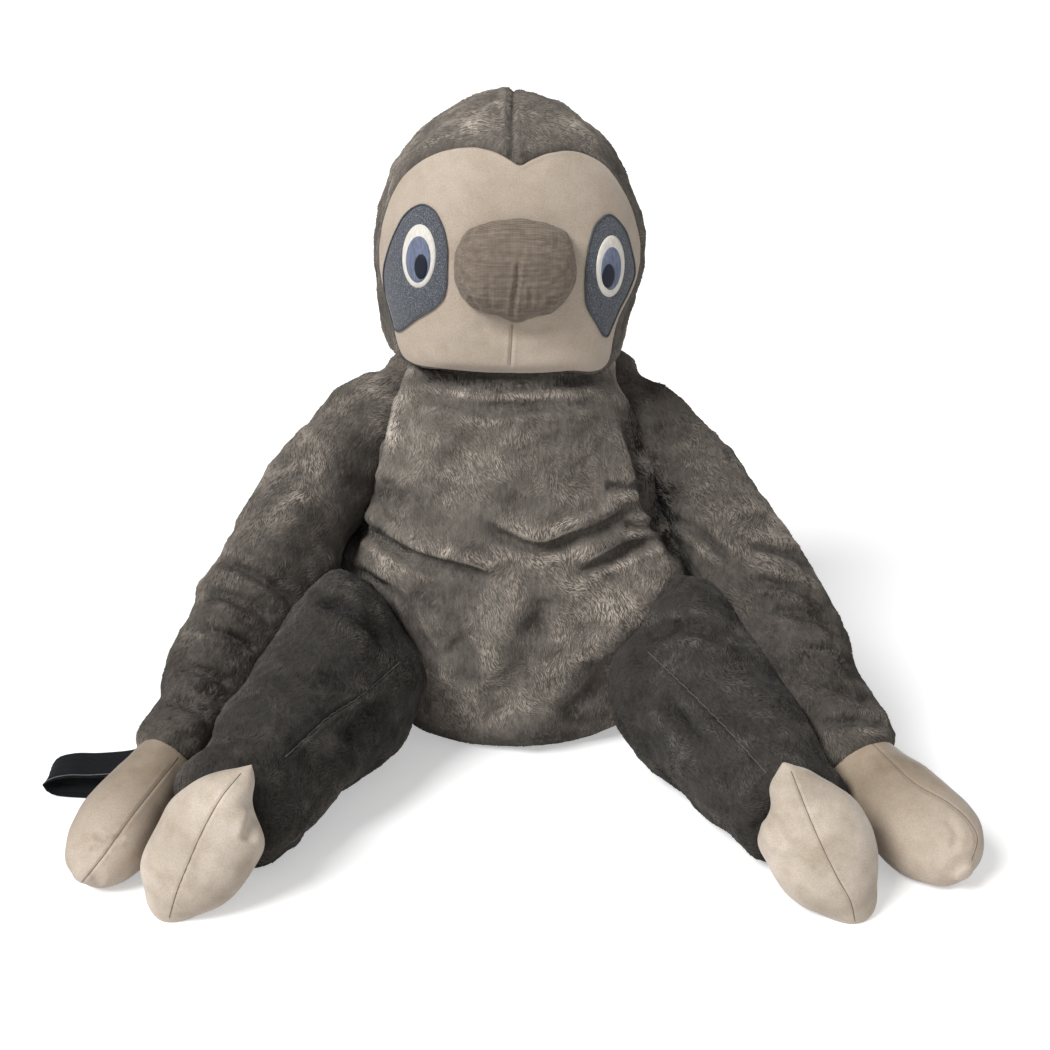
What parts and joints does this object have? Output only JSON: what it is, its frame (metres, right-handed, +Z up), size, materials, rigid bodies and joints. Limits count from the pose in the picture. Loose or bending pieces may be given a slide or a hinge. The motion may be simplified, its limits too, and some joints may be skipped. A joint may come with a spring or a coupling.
{
  "type": "plush sloth",
  "caption": "Seated stuffed plush sloth with a head that turns and nods, arms and legs that flex at sewn joints, and a webbing loop at one wrist.",
  "frame": {"origin": "middle of the flat seat, on the surface that the toy sits on", "axes": "+Z up, -Y the way the face looks, +X towards the toy's own left hand"},
  "size_m": [0.8322, 0.5489, 0.6233],
  "materials": {
    "plush": "short sheared pile",
    "face_suede": "brushed, matte",
    "hand_suede": "brushed, matte",
    "nose_linen": "plain weave, matte",
    "patch_felt": "short felt with a fine glitter",
    "thread_white": "satin-stitch embroidery",
    "thread_blue": "satin-stitch embroidery",
    "thread_black": "satin-stitch embroidery",
    "webbing": "woven, slight sheen",
    "fibre_fill": "loose polyester fibre",
    "pellet_cloth": "plain cotton"
  },
  "bodies": {
    "torso": {"seat_pellet_bag": "pellet_cloth", "torso_back_panel": "plush", "torso_filling": "fibre_fill", "torso_front_panel": "plush"},
    "neck": {"neck_filling": "fibre_fill"},
    "head": {"eye_patch_left": "patch_felt", "eye_patch_right": "patch_felt", "eye_white_left": "thread_white", "eye_white_right": "thread_white", "face_panel": "face_suede", "head_filling": "fibre_fill", "hood_left": "plush", "hood_right": "plush", "iris_left": "thread_blue", "iris_right": "thread_blue", "nose_cover": "nose_linen", "nose_filling": "fibre_fill", "pupil_left": "thread_black", "pupil_right": "thread_black"},
    "arm_left": {"arm_filling_left": "fibre_fill", "sleeve_left": "plush"},
    "hand_left": {"hand_filling_left": "fibre_fill", "hand_inner_panel_left": "hand_suede", "hand_outer_panel_left": "hand_suede"},
    "arm_right": {"arm_filling_right": "fibre_fill", "sleeve_right": "plush"},
    "hand_right": {"hand_filling_right": "fibre_fill", "hand_inner_panel_right": "hand_suede", "hand_outer_panel_right": "hand_suede"},
    "loop": {"hand_loop": "webbing"},
    "leg_left": {"leg_filling_left": "fibre_fill", "leg_inner_panel_left": "plush", "leg_outer_panel_left": "plush"},
    "foot_left": {"foot_filling_left": "fibre_fill", "foot_inner_panel_left": "hand_suede", "foot_outer_panel_left": "hand_suede"},
    "leg_right": {"leg_filling_right": "fibre_fill", "leg_inner_panel_right": "plush", "leg_outer_panel_right": "plush"},
    "foot_right": {"foot_filling_right": "fibre_fill", "foot_inner_panel_right": "hand_suede", "foot_outer_panel_right": "hand_suede"}
  },
  "joints": [
    {"name": "neck_turn", "type": "hinge", "parent": "torso", "child": "neck", "pos_m": [0, 0, 0.29], "axis": [0, 0, 1], "range_deg": [-30, 30]},
    {"name": "head_nod", "type": "hinge", "parent": "neck", "child": "head", "pos_m": [0, 0, 0.29], "axis": [1, 0, 0], "range_deg": [-12, 12]},
    {"name": "shoulder_left", "type": "hinge", "parent": "torso", "child": "arm_left", "pos_m": [0.119, 0.014, 0.314], "axis": [-0.8181, -0.575, 0], "range_deg": [0, 60]},
    {"name": "wrist_left", "type": "hinge", "parent": "arm_left", "child": "hand_left", "pos_m": [0.313, -0.262, 0.06], "axis": [-0.9036, -0.4284, 0], "range_deg": [-25, 30]},
    {"name": "hip_left", "type": "hinge", "parent": "torso", "child": "leg_left", "pos_m": [0.142, -0.123, 0.07674], "axis": [-0.6421, -0.2961, -0.7071], "range_deg": [0, 25]},
    {"name": "ankle_left", "type": "hinge", "parent": "leg_left", "child": "foot_left", "pos_m": [0.243, -0.342, 0.04902], "axis": [-0.9081, -0.4188, 0], "range_deg": [-20, 15]},
    {"name": "shoulder_right", "type": "hinge", "parent": "torso", "child": "arm_right", "pos_m": [-0.119, 0.014, 0.314], "axis": [-0.8181, 0.575, 0], "range_deg": [0, 60]},
    {"name": "wrist_right", "type": "hinge", "parent": "arm_right", "child": "hand_right", "pos_m": [-0.313, -0.262, 0.06], "axis": [-0.9036, 0.4284, 0], "range_deg": [-25, 30]},
    {"name": "hip_right", "type": "hinge", "parent": "torso", "child": "leg_right", "pos_m": [-0.142, -0.123, 0.07674], "axis": [-0.6421, 0.2961, 0.7071], "range_deg": [0, 25]},
    {"name": "ankle_right", "type": "hinge", "parent": "leg_right", "child": "foot_right", "pos_m": [-0.243, -0.342, 0.04902], "axis": [-0.9081, 0.4188, 0], "range_deg": [-20, 15]},
    {"name": "loop_flop", "type": "hinge", "parent": "arm_right", "child": "loop", "pos_m": [-0.32214, -0.21537, 0.04508], "axis": [0.3746, 0.732, 0.5691], "range_deg": [-80, 20]}
  ]
}
